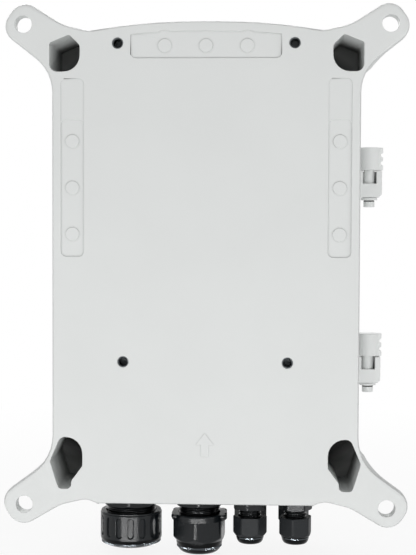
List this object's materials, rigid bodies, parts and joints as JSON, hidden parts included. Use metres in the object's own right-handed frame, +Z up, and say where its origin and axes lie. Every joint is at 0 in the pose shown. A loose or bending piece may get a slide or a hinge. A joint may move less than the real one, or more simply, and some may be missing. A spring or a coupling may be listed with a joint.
{
  "type": "dc combiner box",
  "caption": "Wall-mounted dc combiner box: a hinged case on splayed legs with cable glands below, fuses, surge arrester and isolator inside.",
  "frame": {"origin": "middle of the four leg holes, on the wall plane", "axes": "+Z up, +Y into the wall, the door faces -Y, hinges at -X"},
  "size_m": [0.3172, 0.1383, 0.4377],
  "materials": {
    "shell_grey": "smooth moulded, light grey",
    "gland_black": "black moulded, half gloss",
    "seal_black": "black rubber",
    "zinc_steel": "zinc plated",
    "dark_zinc": "dark die-cast",
    "device_grey": "fine matt",
    "carrier_grey": "fine matt",
    "ceramic_white": "smooth ceramic tube with end caps",
    "knob_red": "red moulded",
    "cartridge_orange": "orange moulded",
    "bare_copper": "bare copper",
    "bare_brass": "bare brass",
    "lead_red": "red insulation",
    "lead_black": "black insulation",
    "lead_green": "green insulation"
  },
  "bodies": {
    "case_body": {"case": "shell_grey", "hinge_fork_upper": "shell_grey", "hinge_fork_lower": "shell_grey", "hinge_pin_upper": "shell_grey", "hinge_pin_lower": "shell_grey", "gland_large_body": "gland_black", "gland_large_nut": "gland_black", "gland_large_seal": "seal_black", "gland_large_locknut": "gland_black", "gland_middle_body": "gland_black", "gland_middle_nut": "gland_black", "gland_middle_seal": "seal_black", "gland_middle_locknut": "gland_black", "gland_small_1_body": "gland_black", "gland_small_1_nut": "gland_black", "gland_small_1_seal": "seal_black", "gland_small_2_body": "gland_black", "gland_small_2_nut": "gland_black", "gland_small_2_seal": "seal_black", "gland_small_3_body": "gland_black", "gland_small_3_nut": "gland_black", "gland_small_3_seal": "seal_black", "gland_small_4_body": "gland_black", "gland_small_4_nut": "gland_black", "gland_small_4_seal": "seal_black", "mounting_plate": "zinc_steel", "rail_upper": "zinc_steel", "rail_lower": "zinc_steel", "fuse_base_1": "device_grey", "fuse_base_2": "device_grey", "fuse_base_3": "device_grey", "fuse_base_4": "device_grey", "arrester_base": "device_grey", "isolator_body": "device_grey", "positive_busbar": "bare_copper", "negative_busbar": "bare_copper", "earth_bar": "bare_brass", "output_lead_positive": "lead_red", "output_lead_negative": "lead_black", "earth_lead": "lead_green"},
    "door": {"door": "shell_grey", "door_gasket": "seal_black", "hinge_knuckle_upper": "shell_grey", "hinge_knuckle_lower": "shell_grey"},
    "latch_upper": {"latch_knob_upper": "dark_zinc", "latch_cam_upper": "zinc_steel"},
    "latch_lower": {"latch_knob_lower": "dark_zinc", "latch_cam_lower": "zinc_steel"},
    "fuse_carrier_1": {"fuse_carrier_1": "carrier_grey", "fuse_link_1": "ceramic_white"},
    "fuse_carrier_2": {"fuse_carrier_2": "carrier_grey", "fuse_link_2": "ceramic_white"},
    "fuse_carrier_3": {"fuse_carrier_3": "carrier_grey", "fuse_link_3": "ceramic_white"},
    "fuse_carrier_4": {"fuse_carrier_4": "carrier_grey", "fuse_link_4": "ceramic_white"},
    "isolator_knob": {"isolator_knob": "knob_red"},
    "cartridge_positive": {"arrester_cartridge_positive": "cartridge_orange"},
    "cartridge_negative": {"arrester_cartridge_negative": "cartridge_orange"}
  },
  "joints": [
    {"name": "door_hinge", "type": "hinge", "parent": "case_body", "child": "door", "pos_m": [-0.135, -0.1, 0], "axis": [0, 0, -1], "range_deg": [0, 110]},
    {"name": "latch_upper_turn", "type": "hinge", "parent": "door", "child": "latch_upper", "pos_m": [0.098, -0.13, 0.10497], "axis": [0, 1, 0], "range_deg": [0, 90]},
    {"name": "latch_lower_turn", "type": "hinge", "parent": "door", "child": "latch_lower", "pos_m": [0.098, -0.13, -0.10497], "axis": [0, 1, 0], "range_deg": [0, 90]},
    {"name": "fuse_carrier_1_swing", "type": "hinge", "parent": "case_body", "child": "fuse_carrier_1", "pos_m": [-0.045, -0.06, 0.05194], "axis": [1, 0, 0], "range_deg": [0, 60]},
    {"name": "fuse_carrier_2_swing", "type": "hinge", "parent": "case_body", "child": "fuse_carrier_2", "pos_m": [-0.027, -0.06, 0.05194], "axis": [1, 0, 0], "range_deg": [0, 60]},
    {"name": "fuse_carrier_3_swing", "type": "hinge", "parent": "case_body", "child": "fuse_carrier_3", "pos_m": [0.027, -0.06, 0.05194], "axis": [1, 0, 0], "range_deg": [0, 60]},
    {"name": "fuse_carrier_4_swing", "type": "hinge", "parent": "case_body", "child": "fuse_carrier_4", "pos_m": [0.045, -0.06, 0.05194], "axis": [1, 0, 0], "range_deg": [0, 60]},
    {"name": "isolator_turn", "type": "hinge", "parent": "case_body", "child": "isolator_knob", "pos_m": [0, -0.064, -0.04606], "axis": [0, 1, 0], "range_deg": [0, 90]},
    {"name": "cartridge_positive_pull", "type": "slide", "parent": "case_body", "child": "cartridge_positive", "axis": [0, -1, 0], "range_m": [0, 0.03]},
    {"name": "cartridge_negative_pull", "type": "slide", "parent": "case_body", "child": "cartridge_negative", "axis": [0, -1, 0], "range_m": [0, 0.03]}
  ]
}
